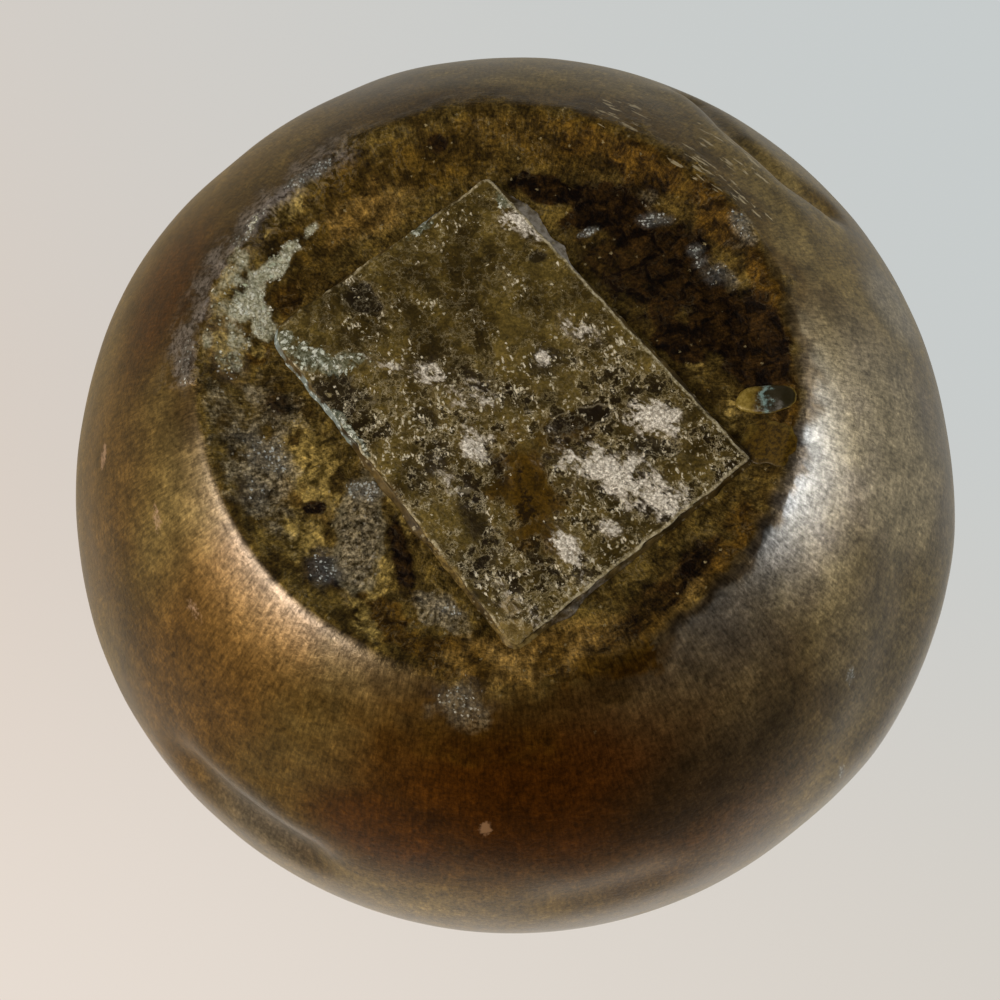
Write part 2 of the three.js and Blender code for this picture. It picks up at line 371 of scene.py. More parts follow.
soot = smudges(
    flat, wobble * 0.8,
    (18.5, -16.5, 17.0, 8.5, 48, 0.75), (26.8, -8.0, 6.5, 5.0, 65, 1.2),
    (21.5, -5.8, 4.0, 3.0, 20, 1.1), (14.0, -21.5, 6.5, 4.4, 25, 1.2), (6.3, -25.3, 4.6, 2.8, 10, 1.1),
    (31.0, -3.6, 6.5, 4.0, 80, 1.2), (-20.4, 22.4, 3.8, 3.2, 40, 1.0),
    (-10.2, 21.5, 5.5, 1.6, 75, 0.85), (-26.2, 1.8, 2.6, 1.8, 20, 0.75),
    (-20.8, 14.8, 2.2, 0.9, 5, 0.6), (-7.6, -31.3, 1.8, 1.3, 0, 0.85),
    (19.5, 25.0, 13.0, 3.0, -42, 0.7),
)
rust = smudges(
    flat, wobble,
    (16.0, -28.0, 10.0, 3.2, 25, 0.8), (27.0, -20.5, 8.0, 3.4, 55, 0.85),
    (32.6, -10.0, 8.0, 2.6, 76, 0.95), (34.0, 3.0, 7.0, 2.6, 90, 0.9),
    (-25.5, -11.6, 3.0, 2.2, 125, 0.9), (-28.3, -4.4, 1.6, 1.3, 0, 0.9),
    (12.0, 31.5, 14.0, 3.8, -12, 0.95), (27.0, 21.0, 9.0, 3.6, -55, 0.85),
    (-6.0, 32.0, 8.0, 3.4, 20, 0.9), (-13.0, 28.5, 5.0, 3.0, 50, 0.7), (-2.0, 41.0, 14.0, 4.0, 5, 0.5),
)
amber = smudges(
    flat, wobble,
    (-20.0, -23.0, 10.0, 5.0, -42, 1.0), (-7.0, -29.8, 10.0, 4.5, -12, 1.0),
    (7.0, -31.5, 10.0, 4.2, 6, 1.0), (22.0, -25.5, 7.0, 3.4, 42, 0.8), (9.5, -24.6, 2.6, 1.6, 20, 0.8),
    (-24.0, -12.5, 3.4, 2.6, 130, 0.9), (-32.0, -5.0, 3.6, 2.2, 80, 0.8),
    (4.0, 33.0, 12.0, 3.6, -4, 0.7), (24.0, 4.0, 3.4, 1.6, 50, 0.6),
)
ochre = smudges(
    flat, fine_wobble,
    (-21.4, 9.5, 6.5, 3.6, 80, 1.0), (-22.4, 18.0, 4.4, 3.0, 60, 0.95),
    (-11.2, 14.4, 4.0, 1.3, 75, 0.95), (-13.0, 22.8, 3.6, 1.5, 100, 0.95),
    (-15.0, 28.0, 3.6, 1.6, 60, 0.7), (-28.4, -4.6, 1.4, 1.2, 0, 0.9), (23.0, -3.4, 1.8, 1.4, 30, 0.8),
    (27.5, 3.4, 1.4, 4.0, 0, 0.6), (-31.4, -4.6, 3.4, 2.2, 85, 0.9), (-32.4, -11.5, 4.0, 1.6, 105, 0.8),
    (-26.0, -22.0, 4.0, 1.6, -50, 0.6),
)
tongue = smudges(flat, fine_wobble * 0.5, (-15.6, 18.2, 7.6, 3.2, 97, 1.0))
veil_edge = bell(tongue, 0.45, 0.13) * in_reach
veil = smudges(
    flat, fine_wobble,
    (-28.0, 11.0, 8.0, 4.8, 75, 0.85), (-25.6, 3.0, 5.0, 3.6, 40, 0.7), (-5.4, 27.0, 4.6, 2.0, 28, 0.8),
    (-3.3, 38.0, 4.2, 2.6, 10, 0.6), (26.2, -14.0, 3.0, 1.5, 20, 0.6), (29.2, -19.0, 2.6, 1.9, 60, 0.7),
    (17.8, -24.0, 1.6, 1.4, 60, 0.75), (-33.0, 2.0, 4.0, 2.4, 80, 0.6),
)
veil = np.maximum(veil, tongue)
# Bloom: bluish-grey corrosion in spots, whose brightest specks, laid in the material, are painted glints.
bloom = smudges(
    flat, fine_wobble,
    (-27.0, 8.4, 3.6, 2.4, 40, 0.55), (-29.0, 13.5, 3.0, 2.0, 70, 0.4),
    (-15.4, 12.6, 2.6, 1.3, 20, 1.0), (-19.8, 22.4, 2.6, 2.4, 60, 0.75),
    (-5.0, 26.6, 3.0, 1.0, 28, 0.6), (-3.3, 37.7, 3.8, 2.2, 10, 0.55), (19.1, -21.1, 2.0, 0.9, 0, 1.0),
    (11.0, -19.8, 1.2, 0.5, -30, 1.4), (23.7, -17.2, 0.9, 0.9, 0, 1.2),
    (24.4, -15.5, 1.3, 0.7, -25, 1.1), (26.0, -14.0, 2.6, 1.3, 20, 0.65),
    (29.0, -19.6, 2.2, 1.0, 60, 0.65), (-23.5, -26.3, 4.0, 0.9, -29, 1.0),
    (-30.2, -19.6, 3.2, 1.2, -52, 0.7), (-36.8, -3.0, 5.0, 0.9, 95, 0.6),
    (42.9, 31.6, 0.8, 0.6, 110, 1.4), (43.9, 41.5, 0.6, 0.6, 0, 1.2), (-31.6, -4.0, 4.6, 2.2, 84, 0.35),
)
upper_left = smooth_step(-azimuth, 112, 130)
band = ring_radius + 1.2 + 1.4 * smooth_step(-azimuth, 135, 165) + 2 * wobble
film = upper_left * bell(radius, band, 2.4) * np.clip(0.8 + fine_wobble + wobble, 0, 1)
sienna = smudges(
    flat, fine_wobble,
    (8.0, 31.2, 13.0, 2.8, -12, 0.9), (-15.5, -22.5, 6.0, 3.0, -35, 0.7),
    (-22.0, 13.0, 5.0, 3.4, 80, 0.5), (20.5, 26.0, 6.5, 2.6, -48, 0.9), (2.0, 33.0, 7.0, 3.2, 0, 1.2),
    (-31.8, -4.6, 5.0, 2.4, 84, 0.75),
)
# Golden at the lower left, where the left window shines: a painted sheen over the brass's golden tone.
gold = smudges(
    flat, wobble * 0.4,
    (-33.0, 30.0, 24.0, 12.0, 135, 1.0), (-50.0, 8.0, 18.0, 9.0, 95, 0.7),
)
# Browner and darker at the bottom and the left: brown tone, with painted shade where the belly mirrors the
# dark room.
brown = smudges(
    flat, wobble * 0.4,
    (6.0, 47.0, 30.0, 11.0, 0, 1.0), (22.0, 48.0, 14.0, 9.0, -20, 0.5),
    (-42.0, -15.0, 13.0, 7.0, 105, 1.0), (-13.0, 50.5, 13.0, 6.0, 15, 1.0),
)
# A dark patch at the lower right: painted shade, standing in for the dark room that the belly mirrors
# there.
smoke = smudges(flat, wobble * 0.4, (26.0, 43.5, 16.0, 5.5, -33, 0.75))
flecks = smudges(
    flat, 0,
    (26.5, -26.0, 9.0, 3.0, 40, 1.0), (15.5, -35.5, 6.0, 4.0, 20, 0.8),
    (29.5, -31.0, 8.0, 4.0, 45, 0.7),
)
scrapes = smudges(
    flat, 0,
    (-49.9, 5.0, 0.55, 2.0, 8, 0.9), (-1.1, 50.4, 0.9, 0.75, 0, 1.0), (-40.6, 15.2, 2.4, 0.55, 76, 0.5),
    (-35.5, 26.1, 2.6, 0.55, 54, 0.45),
)
# Paler on the ring at the lower left: worn bright, with a painted highlight where the left window shines on
# it.
off_ring = np.maximum(radius - ring_radius, 0)
bare = bell(azimuth, 138, 30) * np.exp(-off_ring / 1.8)
bare *= smooth_step(radius, ring_radius - 2.5, ring_radius - 0.5)
# Silvery grey on the right: grey wear, with a painted highlight on the ring where the right window shines
# on it.
silvered = smudges(
    flat, 0,
    (47.0, 4.0, 18.0, 14.0, 80, 0.25), (46.0, 27.0, 15.0, 11.0, 115, 0.12),
    (-30.5, 49.0, 9.0, 3.4, 35, 0.24), (50.0, -16.0, 7.0, 5.0, 75, 0.3),
)
silvered = np.maximum(silvered, bell(azimuth, 16, 26) * np.exp(-off_ring / 6))
silvered = np.maximum(silvered, 0.4 * bell(azimuth, 50, 18) * np.exp(-off_ring / 9))
silvered *= smooth_step(radius, ring_radius - 1.5, ring_radius + 0.5)

# The dish's dark floor ends on the ring, sharply where the ring is worn and in a brown fringe elsewhere.
worn_ring = smooth_step(-np.abs(azimuth - 140), -45, -20)
creeps_out = 0.6 + 1.5 * np.abs(np.sin(np.radians(azimuth))) + 4 * wobble
dish_edge = ring_radius + 0.9 + (1 - worn_ring) * creeps_out - 2.2 * bell(azimuth, 43, 20)
fades = 1.6 - 0.9 * worn_ring + 2.5 * bell(azimuth, 80, 30)
fades += 1.5 * bell(azimuth, -90, 40) + 1.6 * bell(azimuth, 5, 30)
outside = spots[:, 2] < np.maximum(dish_depth + 0.5, 0.8 * (radius - ring_radius))
in_dish = smooth_step(dish_edge - radius, 0, fades) * outside
reach = 4.5 - 3.9 * bell(azimuth, 28, 38)
fringe = (1 - worn_ring) * smooth_step(dish_edge + reach - radius, 0, reach) * outside
rust *= np.where(np.abs(azimuth + 10) < 70, in_dish, 1)
lumps = 0.07 * grit + 0.1 * fine_wobble + 0.22 * crust * (0.6 + grit) + 0.1 * (veil + soot) * (0.5 + grit)
lumps *= in_dish * smooth_step(spots[:, 2], 0.1, 0.9)
move(bm, np.column_stack((np.zeros((len(spots), 2)), -lumps)))

# Aged brass: sheet that has gone brown and olive, with a satin skin that still mirrors at a slant, fine
# dark speckle of tarnish, brighter where it is worn, and in the dish crusts of verdigris, soot and
# rust-coloured oxide. Painted sheen, shade, highlights and glints are laid over these colours. The finest
# grit is drawn a little coarser than it is, so that it shows.
aged_brass, tree = new_material("aged_brass_patina")
place = add("TexCoord").outputs["Object"]


def noise_texture(place, size, detail, roughness=0.5, distortion=0.0):
    """A noise texture whose lumps are of a given size in mm."""
    return add("TexNoise", {
        "Vector": place, "Scale": 1 / (size * mm), "Detail": detail, "Roughness": roughness,
        "Distortion": distortion,
    })


def bumps(height, strength, distance, under=None):
    """Small bumps that follow a texture, over the bumps under them."""
    inputs = {"Height": height, "Strength": strength, "Distance": distance}
    if under is not None:
        inputs["Normal"] = under
    return add("Bump", inputs)


def surface(colour, metallic, roughness, bump=None, gloss=0.5):
    """Ends a material: its colour, how metallic, rough and glossy it is, and its bumps."""
    inputs = {
        "Base Color": colour, "Metallic": metallic, "Roughness": roughness, "Specular IOR Level": gloss,
    }
    if bump is not None:
        inputs["Normal"] = bump
    add("OutputMaterial", {"Surface": add("BsdfPrincipled", inputs)})


def broken(share, texture, spread, ragged=1.2):
    """A stain's share, broken up by a texture: solid where it is high, and islands where it is low."""
    level = add("Math", {0: texture, 1: ragged, 2: share}, operation="MULTIPLY_ADD")
    middle = (ragged + 1) / 2
    ends = {0: level, 1: middle - spread / 2, 2: middle + spread / 2}
    islands = add("MapRange", ends, interpolation_type="SMOOTHSTEP")
    reached = add("MapRange", {0: share, 1: 0.05, 2: 0.35})
    return times(islands, reached)


def crumbs(place, size, share):
    """Separate ragged crumbs of about a size in mm. The share is how many of their places are taken."""
    fraying, push, outer, inner = 2.2, 1.4, 0.52, 0.3
    frayed = noise_texture(place, size / fraying, 3.0)
    pushed = {0: frayed.outputs["Color"], 1: (push * size * mm,) * 3, 2: place}
    cells = add("TexVoronoi", {
        "Vector": add("VectorMath", pushed, operation="MULTIPLY_ADD"), "Scale": 1 / (size * mm),
    })
    taken = add("Math", {0: cells.outputs["Color"], 1: share}, operation="LESS_THAN")
    ends = {0: cells.outputs["Distance"], 1: outer, 2: inner}
    inside = add("MapRange", ends, interpolation_type="SMOOTHSTEP")
    return times(taken, inside)


def outlines(field, level, width):
    """Thin lines where a field passes a level, as round flakes and pits."""
    away = add("Math", {0: field, 1: level}, operation="SUBTRACT")
    away = add("Math", {0: away}, operation="ABSOLUTE")
    return add("MapRange", {0: away, 1: width, 2: 0.0}, interpolation_type="SMOOTHSTEP")


def laid(ground, *coats):
    """Lays coats of colour over a ground, each by its share. A texture with a range shades it instead."""
    for share, coat, *shades in coats:
        blend = "MIX"
        if shades:
            coat = add("MapRange", {0: coat, 1: 0.32, 2: 0.68, 3: shades[0], 4: shades[1]})
            blend = "MULTIPLY"
        ground = add("Mix", {0: share, 6: ground, 7: coat}, data_type="RGBA", blend_type=blend)
    return ground


def two_tone(texture, dark, light):
    """A colour that goes from one to another with a texture."""
    step = add("MapRange", {0: texture, 1: 0.36, 2: 0.64}, interpolation_type="SMOOTHSTEP")
    return laid(linear(dark), (step, linear(light)))


mottle = noise_texture(place, 22, 5.0, 0.65)
cloud = noise_texture(place, 4, 6.0, 0.7)
flake = noise_texture(place, 1.8, 4.0, 0.6, 0.8)
speckle = noise_texture(place, 0.6, 4.0, 0.7)
grit = noise_texture(place, 0.4, 3.0, 0.6)
rubbed = add("Attribute", attribute_name="polish").outputs["Vector"]
rubbed_lines = noise_texture(rubbed, 0.4, 4.0, 0.7)
turned = {"Vector": place, "Rotation": (0, 0, math.radians(32)), "Scale": (5, 1, 1)}
slanted = add("Mapping", turned, vector_type="TEXTURE")
crusted = crumbs(place, 0.42, times("crust", "crust", 1.7))
crust_lumps = crumbs(place, 0.8, times("crust", "crust", 0.5))
veiled = times(broken("veil", cloud, 0.8, 2.6), 0.75)
filmed = times(broken("film", flake, 0.9, 2.0), 0.7)
flaked = add("MapRange", {0: cloud, 1: 0.46, 2: 0.6})
unsooted = add("Math", {0: 1.0, 1: "soot"}, operation="SUBTRACT", use_clamp=True)
base = laid(
    two_tone(mottle, "#4b3a16", "#706038"),
    # The next five coats lay painted light over the brass's own tones: a golden sheen, shade, a dark
    # reflection, and highlights on the ring.
    ("gold", linear("#604822")),
    ("brown", linear("#4c2f0a")),
    ("smoke", linear("#2b2410")),
    ("bare", linear("#a5978a")),
    ("silvered", linear("#7f8387")),
    (1.0, cloud, 0.6, 1.4),
    (1.0, flake, 0.8, 1.2),
    (times(crumbs(place, 0.8, 0.05), 0.6), linear("#241a0a")),
    (times(crumbs(place, 0.5, 0.03), 0.5), linear("#8c8068")),
    (times("fringe", 0.75), two_tone(cloud, "#33240b", "#544120")),
    ("dish", two_tone(cloud, "#372a0e", "#645326")),
    ("amber", two_tone(cloud, "#33260a", "#5b4617")),
    (broken("rust", cloud, 0.6), two_tone(flake, "#382709", "#523c12")),
    (times("sienna", 0.8), two_tone(cloud, "#5a441b", "#967840")),
    (broken("ochre", flake, 0.5), two_tone(flake, "#5e4e22", "#86733f")),
    (veiled, two_tone(speckle, "#3b3322", "#877e69")),
    (broken("soot", cloud, 0.5, 1.8), two_tone(flake, "#120802", "#2a1c08")),
    ("dish", flake, 0.4, 1.75),
    ("dish", grit, 0.45, 1.6),
    (times("dish", crumbs(place, 0.9, 0.14), 0.6), linear("#140d05")),
    (times("dish", outlines(flake, 0.5, 0.03), flaked, unsooted, 0.4), linear("#82765a")),
    (times("veil_edge", 0.6), two_tone(grit, "#5c553f", "#948c73")),
    (times("dish", crumbs(place, 0.45, 0.1), 0.8), linear("#8f8260")),
    (crumbs(place, 0.4, times("veil", 0.25)), linear("#8d8675")),
    # Tiny bluish-white specks in the dish: painted glints.
    (times("dish", crumbs(place, 0.6, 0.015)), linear("#c3c9c9")),
    (1.0, speckle, 0.54, 1.32),
    (1.0, rubbed_lines, 0.6, 1.4),
    (filmed, two_tone(speckle, "#332c29", "#95908f")),
    (times("film", outlines(flake, 0.5, 0.04), 0.5), linear("#938b84")),
    # Bloom's grey haze, and its bright specks, which are painted glints.
    (times("bloom", 0.4), two_tone(grit, "#54534f", "#7d8082")),
    (crumbs(place, 0.35, times("bloom", 0.6)), two_tone(flake, "#8d9392", "#c4c9c8")),
    (crumbs(slanted, 0.5, times("flecks", 0.4)), linear("#a09478")),
    (broken("scrapes", speckle, 0.6, 1.6), linear("#a88f7c")),
    (times(broken("crust", cloud, 0.6, 2.4), 0.85), two_tone(grit, "#807f64", "#cdccb5")),
    (crusted, two_tone(flake, "#a8a98d", "#f0f0e2")),
    (crust_lumps, two_tone(cloud, "#b9c2a8", "#f0f1e8")),
)
shiny = add("MapRange", {0: "dish", 3: 0.85, 4: 0.15})
metal = add("Math", {0: shiny, 1: "crust"}, operation="SUBTRACT", use_clamp=True)
worn = add("MapRange", {0: mottle, 1: 0.3, 2: 0.7, 3: 0.33, 4: 0.43})
rough = add("Math", {0: "dish", 1: 0.15, 2: worn}, operation="MULTIPLY_ADD")
wrinkled = add("Math", {0: "bare", 1: 2.5, 2: 1.0}, operation="MULTIPLY_ADD")
bump = bumps(times(speckle, wrinkled), 0.3, 0.00015)
gritty = times("dish", add("Math", {0: grit, 1: flake}, operation="ADD"))
bump = bumps(gritty, 0.8, 0.00025, bump)
bump = bumps(crusted, 0.8, 0.00025, bump)
surface(base, metal, rough, bump, 0.06)

polish = polish_lines(spots, belly_centre, belly_height)
lower_bowl = piece(
    "vase_lower_bowl", bm, aged_brass, polish=polish, dish=in_dish, fringe=fringe,
    crust=crust * in_dish, soot=soot * in_dish, amber=amber * in_dish, sienna=sienna * in_dish,
    veil=veil, veil_edge=veil_edge, rust=rust, ochre=ochre, bloom=bloom, film=film, gold=gold,
    brown=brown, smoke=smoke, flecks=flecks, scrapes=scrapes, bare=bare, silvered=silvered,
)
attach(lower_bowl, "root")
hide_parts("lower_bowl")

# Upper bowl: the shoulder, raised from a second sheet. Its lower edge is set in to fit inside the lower
# bowl, where it is brazed, and its upper edge is turned up into a collar inside the neck.
spigot_radius, spigot_foot = 61.6, 47.0
shoulder_foot, shoulder_rise = belly_height + 0.2, 55.0
collar_radius, collar_top = 18.9, 112.2
shoulder_run = belly_radius - collar_radius
shoulder_arc = (shoulder_run**2 + shoulder_rise**2) / (2 * shoulder_run)
shoulder_centre = belly_radius - shoulder_arc
shoulder_turn = math.acos((collar_radius - shoulder_centre) / shoulder_arc)
inner_turn = math.acos((collar_radius - wall - shoulder_centre) / (shoulder_arc - wall))
inner_collar = shoulder_foot + (shoulder_arc - wall) * math.sin(inner_turn)

bm = bmesh.new()
draw(
    bm,
    (spigot_radius, spigot_foot),
    ((spigot_radius, seam_height), None, 1),
    ((belly_radius - seam_groove, seam_height), None, 1),
    ((belly_radius, shoulder_foot), None, 1),
    ((shoulder_centre, shoulder_foot), shoulder_turn, 84),
    ((collar_radius, collar_top), None, 3),
    ((collar_radius - wall, collar_top), None, 1),
    ((collar_radius - wall, inner_collar), None, 2),
    ((shoulder_centre, shoulder_foot), -inner_turn, 48),
    ((spigot_radius - wall, seam_height - wall), None, 1),
    ((spigot_radius - wall, spigot_foot), None, 1),
    ((spigot_radius, spigot_foot), None, 1),
)
turn_round(bm, 320)
spots = spots_of(bm)
shoulder_dents = (
    (((40.0, -33.0, 82.0), (30.0, -42.0, 84.0)), 6.0, 0.8),
    (((-48.0, -22.0, 78.0), (-44.0, -32.0, 74.0)), 7.0, 0.7),
    (((-20.0, 50.0, 76.0), (-6.0, 53.0, 78.0)), 7.0, 0.6),
    (((52.0, 22.0, 70.0), (50.0, 27.0, 74.0)), 5.0, 0.5),
)
worked = smooth_step(spots[:, 2], shoulder_foot, shoulder_foot + 6)
worked *= smooth_step(-spots[:, 2], -104.0, -96.0)
work_by_hand(bm, spots, shoulder_centre, shoulder_foot, shoulder_dents, worked)
gold = 0.5 * smooth_step(grain(spots, 30, 2), 0.1, 0.6)
brown = 0.6 * smooth_step(grain(spots + 80, 26, 2), 0.1, 0.6)
polish = polish_lines(spots, shoulder_centre, shoulder_foot)
upper_bowl = piece("vase_upper_bowl", bm, aged_brass, polish=polish, gold=gold, brown=brown)
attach(upper_bowl, "root")
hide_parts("upper_bowl")

# Belly braze: the bead of yellow brazing brass that was run round the lap inside the belly. It keeps its
# CAD shape. Its surface is slightly grainy where it froze, and dull with burnt flux.
brazing_brass, tree = new_material("brazing_brass_bead")
place = add("TexCoord").outputs["Object"]
frozen = noise_texture(place, 1.2, 4.0)
burnt = noise_texture(place, 6, 4.0)
burnt_share = add("MapRange", {0: burnt, 1: 0.45, 2: 0.7})
colour = laid(two_tone(frozen, "#5f4a20", "#7d6532"), (burnt_share, linear("#3a2a12")))
dull = add("MapRange", {0: burnt, 3: 0.38, 4: 0.6})
bump = bumps(frozen, 0.4, 0.0002)
surface(colour, 0.7, dull, bump)


def dress(node, material):
    """Gives a CAD node that keeps its shape its finish."""
    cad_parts[node].material_slots[0].material = material


dress("belly_braze", brazing_brass)

# Neck: a tube of thinner sheet, flared at the mouth and curled out and under round a wire. It stands on
# the shoulder round the collar. The lip is worn brighter where it was handled.
neck_radius, neck_wall, neck_foot, flare_foot = 20.0, 0.9, 107.34, 132.34
flare_radius, flare_turn = 24.0, math.radians(72)
curl_radius, curl_turn = 1.6, math.radians(280)
flare_centre = neck_radius + flare_radius
wire_radius = flare_centre - (flare_radius - curl_radius) * math.cos(flare_turn)
wire_height = flare_foot + (flare_radius - curl_radius) * math.sin(flare_turn)
edge_turn = math.pi - flare_turn - curl_turn
edge = Vector((math.cos(edge_turn), math.sin(edge_turn))) * (curl_radius + neck_wall)

bm = bmesh.new()
draw(
    bm,
    (neck_radius, neck_foot),
    ((neck_radius, flare_foot), None, 26),
    ((flare_centre, flare_foot), -flare_turn, 32),
    ((wire_radius, wire_height), -curl_turn, 22),
    ((wire_radius + edge.x, wire_height + edge.y), None, 1),
    ((wire_radius, wire_height), curl_turn, 28),
    ((flare_centre, flare_foot), flare_turn, 32),
    ((neck_radius - neck_wall, neck_foot), None, 26),
    ((neck_radius, neck_foot), None, 1),
)
turn_round(bm, 256)
spots = spots_of(bm)
radius = np.hypot(spots[:, 0], spots[:, 1])
lift = smooth_step(spots[:, 2], neck_foot, neck_foot + 20)
round_the_lip = np.arctan2(spots[:, 1], spots[:, 0])
wave = 0.10 * np.sin(2 * round_the_lip + 0.6) + 0.07 * np.sin(5 * round_the_lip + 2.0)
out_of_round = lift * (0.25 * np.sin(2 * round_the_lip) + 0.12 * grain(spots, 14))
shift = spots * (1, 1, 0) / radius[:, None] * out_of_round[:, None]
shift[:, 2] += wave * lift
move(bm, shift)
handled = np.clip(smooth_step(spots[:, 2], 148, 156) * (0.6 + 0.4 * grain(spots, 9, 2)), 0, 1)
brown = 0.7 * smooth_step(grain(spots + 80, 18, 2), 0.05, 0.6)
neck = piece("vase_neck", bm, aged_brass, polish=spots * (1, 1, 0.3) * mm, gold=handled, brown=brown)
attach(neck, "root")
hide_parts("neck")

# Neck braze: the hollow fillet of brazing brass that holds the neck on the shoulder. It was run in by
# hand with a torch, so it is uneven.
bm = bmesh.new()
bead_foot, bead_size = 106.2, 2.6
draw(
    bm,
    (neck_radius - 0.3, bead_foot - 0.6),
    ((neck_radius + bead_size, bead_foot - 0.4), None, 1),
    ((neck_radius + bead_size - 0.1, bead_foot + 0.2), None, 1),
    ((neck_radius + 0.9, bead_foot + 1.2), None, 4),
    ((neck_radius + 0.1, bead_foot + 3.2), None, 4),
    ((neck_radius - 0.3, bead_foot + 3.2), None, 1),
    ((neck_radius - 0.3, bead_foot - 0.6), None, 1),
)
turn_round(bm, 220)
spots = spots_of(bm)
move(bm, np.column_stack((np.zeros((len(spots), 2)), 0.16 * grain(spots, 4, 2))))
neck_braze = piece("vase_neck_braze", bm, brazing_brass)
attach(neck_braze, "root")
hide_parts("neck_braze")

# Rim wire: a hard brass wire bent to a ring, which the lip's sheet is curled round. Drawing left it
# smooth, with a brown skin, and it shows only in the slit under the curl. It keeps its CAD shape.
wire_brass, tree = new_material("drawn_brass_wire")
place = add("TexCoord").outputs["Object"]
tarnish = noise_texture(place, 3, 4.0)
colour = two_tone(tarnish, "#4a3818", "#80683a")
dull = add("MapRange", {0: tarnish, 3: 0.3, 4: 0.5})
surface(colour, 0.8, dull)
dress("rim_wire", wire_brass)

# Patch solder: soft solder that was run under the plate. It stands round the plate's edges in a ragged
# fillet, wide along the far right side, and verdigris has grown over it on the left.
plate_front, plate_back = 1.1, 1.65
plate_corners = np.array(((-1.25, -26.6), (29.5, 9.2), (2.65, 31.2), (-27.0, -6.6)))
plate_long, plate_short = 47.3, 33.8
corner_rounds = ((0, 0, 0.7), (1, 0, 0.4), (1, 1, 0.9), (0, 1, 2.2))


def plate_spot(u, v):
    """The place on the plate at shares of its length and width, with its corners rounded."""
    a, b = u * plate_long, v * plate_short
    for far_a, far_b, rounding in corner_rounds:
        from_a, from_b = (plate_long - a if far_a else a), (plate_short - b if far_b else b)
        in_a, in_b = np.maximum(rounding - from_a, 0), np.maximum(rounding - from_b, 0)
        squared_off = np.maximum(in_a, in_b) / np.maximum(np.hypot(in_a, in_b), 1e-9)
        pull = np.where((in_a > 0) & (in_b > 0), squared_off, 1.0)
        a = np.where(in_a > 0, a + np.where(far_a, -1, 1) * in_a * (1 - pull), a)
        b = np.where(in_b > 0, b + np.where(far_b, -1, 1) * in_b * (1 - pull), b)
    s, t = (a / plate_long)[:, None], (b / plate_short)[:, None]
    first, second, third, fourth = plate_corners
    return first * (1 - s) * (1 - t) + second * s * (1 - t) + third * s * t + fourth * (1 - s) * t


def dish_height(radius):
    """Height of the dish's floor at a radius."""
    slope = np.sqrt(np.maximum(dish_arc**2 - np.maximum(radius - dish_flat, 0) ** 2, 0))
    return dish_depth - dish_arc + slope


steps = 560
went = np.arange(steps) / steps * 2 * (plate_long + plate_short)
at_corners = np.cumsum((0, plate_long, plate_short, plate_long, plate_short))
rim = plate_spot(np.interp(went, at_corners, (0, 1, 1, 0, 0)), np.interp(went, at_corners, (0, 0, 1, 1, 0)))
along = np.roll(rim, -2, 0) - np.roll(rim, 2, 0)
outwards = np.column_stack((along[:, 1], -along[:, 0]))
outwards /= np.maximum(np.linalg.norm(along, axis=1), 1e-9)[:, None]
for _ in range(6):
    outwards = (np.roll(outwards, 1, 0) + 2 * outwards + np.roll(outwards, -1, 0)) / 4
rim_spots = np.column_stack((rim, np.zeros(steps)))
ragged = 0.5 + 0.5 * grain(rim_spots, 2.6, 3)
width = 0.3 + 0.5 * np.clip(ragged, 0, 1)
# Where the solder ran out further: the way round to the place, half its length, and how far, in mm.
for middle, spread, extra in (
    (7.5, 3.4, 1.5), (12.5, 1.6, 0.9), (32.0, 4.0, 0.5), (74.0, 2.0, 0.6), (100.0, 9.0, 0.3)
):
    width += extra * bell(went, middle, spread) * (0.7 + 0.5 * ragged)


def solder_line(outside, height):
    """A line round the plate at a distance outside its edge and a height."""
    outside, height = np.broadcast_to(outside, steps), np.broadcast_to(height, steps)
    return np.column_stack((rim + outwards * outside[:, None], height))


def floor_under(line):
    """Heights of the dish's floor under a line."""
    return dish_height(np.hypot(line[:, 0], line[:, 1]))


foot = floor_under(solder_line(width, 0))
top = 1.45 + 0.06 * grain(rim_spots + 11, 1.7, 2)
lines = [solder_line(-1.2, plate_back + 0.05), solder_line(-0.15, plate_back - 0.1)]
lines.append(solder_line(-0.05, top))
for share in (0.25, 0.5, 0.75):
    uneven = 0.06 * grain(rim_spots + 17 * share, 0.9)
    lines.append(solder_line(width * share, top + (foot - top) * share**0.75 + uneven))
lines += [solder_line(width, foot + 0.03), solder_line(width * 0.8, foot + 0.25)]
lines.append(solder_line(-1.5, dish_depth - 0.05))
bm = bmesh.new()
bmesh.ops.create_grid(bm, x_segments=steps, y_segments=len(lines) - 1, size=0.5)
columns = [round((v.co.x + 0.5) * steps) % steps for v in bm.verts]
rows = [round((v.co.y + 0.5) * (len(lines) - 1)) for v in bm.verts]
for v, column, row in zip(bm.verts, columns, rows):
    v.co = lines[row][column]
bmesh.ops.remove_doubles(bm, verts=bm.verts, dist=1e-5)
bmesh.ops.holes_fill(bm, edges=[e for e in bm.edges if e.is_boundary])
bmesh.ops.recalc_face_normals(bm, faces=bm.faces)
spots = spots_of(bm)
flat = spots * (1, 1, 0)
wobble = 0.5 * grain(flat, 2.5, 4)
green = smudges(
    flat, wobble,
    (-22.0, 2.0, 10.0, 1.8, 52, 1.0), (-27.0, -6.0, 2.0, 2.0, 0, 0.9),
    (-9.0, -21.0, 2.2, 1.2, -35, 0.8),
)
buried = smudges(flat, wobble, (2.6, 30.5, 4.5, 3.4, 90, 1.0), (-5.5, 22.5, 5.0, 1.8, 52, 0.7))
pale = smudges(
    flat, wobble,
    (6.0, -19.0, 6.0, 2.2, 50, 1.0), (22.0, 2.0, 9.0, 1.2, 50, 0.6), (11.0, 25.5, 8.0, 1.2, -40, 0.5),
)

